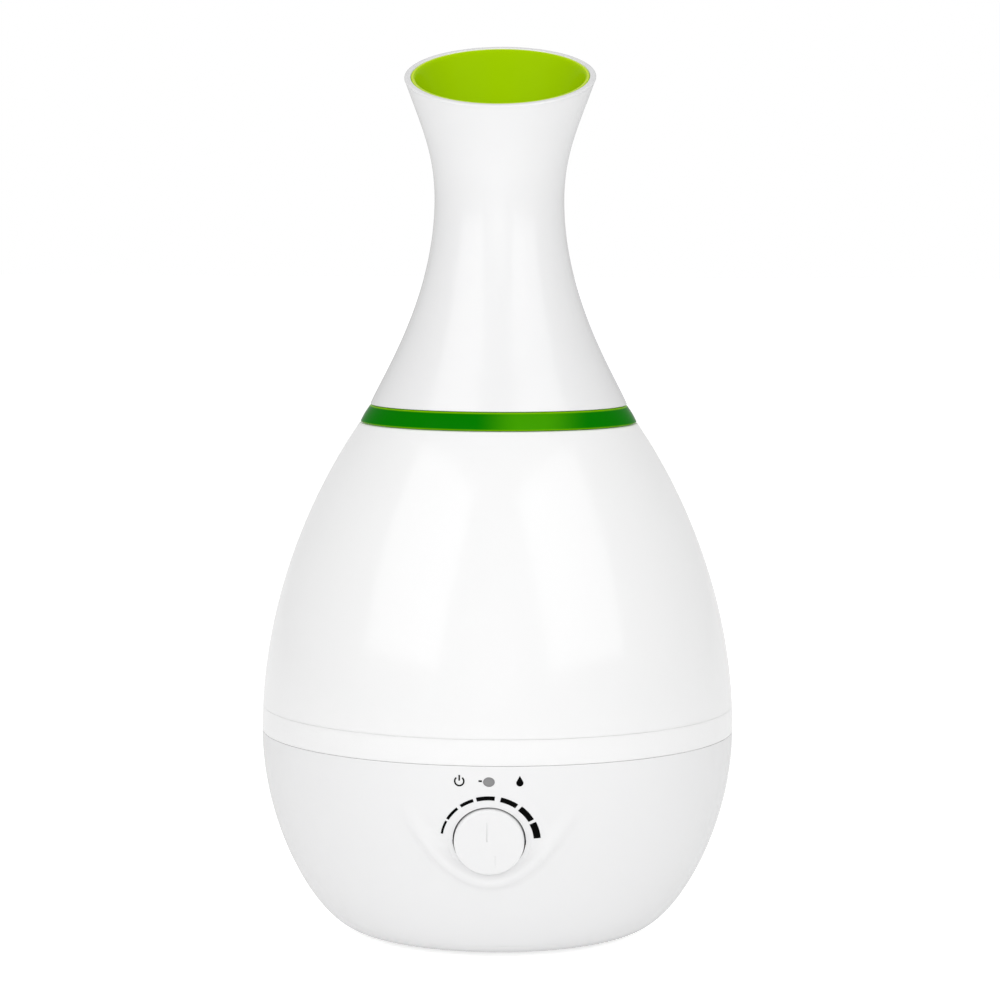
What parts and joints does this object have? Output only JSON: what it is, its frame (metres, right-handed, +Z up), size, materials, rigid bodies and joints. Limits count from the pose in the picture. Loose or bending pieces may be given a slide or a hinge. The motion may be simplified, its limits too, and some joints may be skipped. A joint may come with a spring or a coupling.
{
  "type": "cool mist humidifier",
  "caption": "Vase-shaped ultrasonic humidifier: round powered base with a mist knob, lift-off milky tank, green collar ring and a flared neck with a slanted green-lined mist mouth.",
  "frame": {"origin": "on the floor under the centre of the base", "axes": "+Z up, -Y towards the front with the control knob, +X to the right seen from the front"},
  "size_m": [0.22, 0.2201, 0.4131],
  "materials": {
    "white_casing": "smooth glossy white moulded plastic",
    "milky_tank": "glossy milky white plastic, slightly translucent",
    "lime_clear": "glossy translucent yellow-green plastic",
    "green_clear": "glossy translucent deep green plastic",
    "inner_white": "satin white moulded plastic",
    "grey_plastic": "smoke grey clear plastic",
    "black_plastic": "matt black moulded plastic",
    "rubber": "matt dark grey rubber",
    "silicone": "matt off-white silicone",
    "steel": "zinc-plated steel",
    "aluminium": "plain extruded aluminium",
    "nickel": "nickel-plated ceramic disc",
    "board_green": "green solder mask"
  },
  "bodies": {
    "base": {"base_shell": "white_casing", "bottom_cover": "inner_white", "foot_1": "rubber", "foot_2": "rubber", "foot_3": "rubber", "foot_4": "rubber", "bottom_screw_1": "steel", "bottom_screw_2": "steel", "bottom_screw_3": "steel", "bottom_screw_4": "steel", "basin_tray": "white_casing", "tray_chimney": "white_casing", "transducer_seal": "silicone", "transducer_disc": "nickel", "transducer_clamp": "steel", "clamp_screw_1": "steel", "clamp_screw_2": "steel", "clamp_screw_3": "steel", "driver_board": "board_green", "heatsink": "aluminium", "power_board": "board_green", "potentiometer": "steel", "pot_nut": "steel", "indicator_lens": "grey_plastic", "indicator_led": "grey_plastic", "power_inlet": "black_plastic", "inlet_nut": "steel", "fan_housing": "black_plastic", "fan_motor": "steel", "air_duct": "inner_white", "float_post": "inner_white", "float_retainer": "silicone"},
    "knob": {"control_knob": "white_casing", "pot_shaft": "aluminium"},
    "fan": {"fan_rotor": "black_plastic"},
    "float": {"float_ring": "milky_tank", "float_magnet": "steel"},
    "tank": {"tank_bottom": "milky_tank", "tank_shell": "milky_tank", "mist_tube": "milky_tank", "tube_seal": "silicone"},
    "cap": {"tank_cap": "inner_white", "cap_gasket": "silicone", "valve_spring": "steel"},
    "valve": {"valve_plunger": "inner_white", "valve_seal": "silicone"},
    "collar": {"collar_ring": "green_clear"},
    "neck": {"neck_shell": "white_casing", "neck_liner": "lime_clear"}
  },
  "joints": [
    {"name": "knob_turn", "type": "hinge", "parent": "base", "child": "knob", "pos_m": [0, -0.10548, 0.0601], "axis": [0, 0.9763, 0.2164], "range_deg": [-105, 85]},
    {"name": "fan_spin", "type": "hinge", "parent": "base", "child": "fan", "pos_m": [0, 0.034, 0.0165], "axis": [0, 0, 1], "continuous": true},
    {"name": "float_rise", "type": "slide", "parent": "base", "child": "float", "axis": [0, 0, 1], "range_m": [0, 0.008]},
    {"name": "tank_lift", "type": "slide", "parent": "base", "child": "tank", "axis": [0, 0, 1], "range_m": [0, 0.15]},
    {"name": "cap_turn", "type": "hinge", "parent": "tank", "child": "cap", "pos_m": [0.04278, 0, 0.089], "axis": [0, 0, -1], "range_deg": [0, 90]},
    {"name": "valve_stroke", "type": "slide", "parent": "cap", "child": "valve", "axis": [0, 0, -1], "range_m": [0, 0.004], "deforming": ["valve_spring"]},
    {"name": "neck_lift", "type": "slide", "parent": "tank", "child": "collar", "axis": [0, 0, 1], "range_m": [0, 0.1]},
    {"name": "neck_turn", "type": "hinge", "parent": "collar", "child": "neck", "pos_m": [0, 0, 0.246], "axis": [0, 0, 1], "continuous": true}
  ],
  "couplings": [
    {"joint": "valve_stroke", "follows": "tank_lift", "ratio": 0.0266}
  ]
}
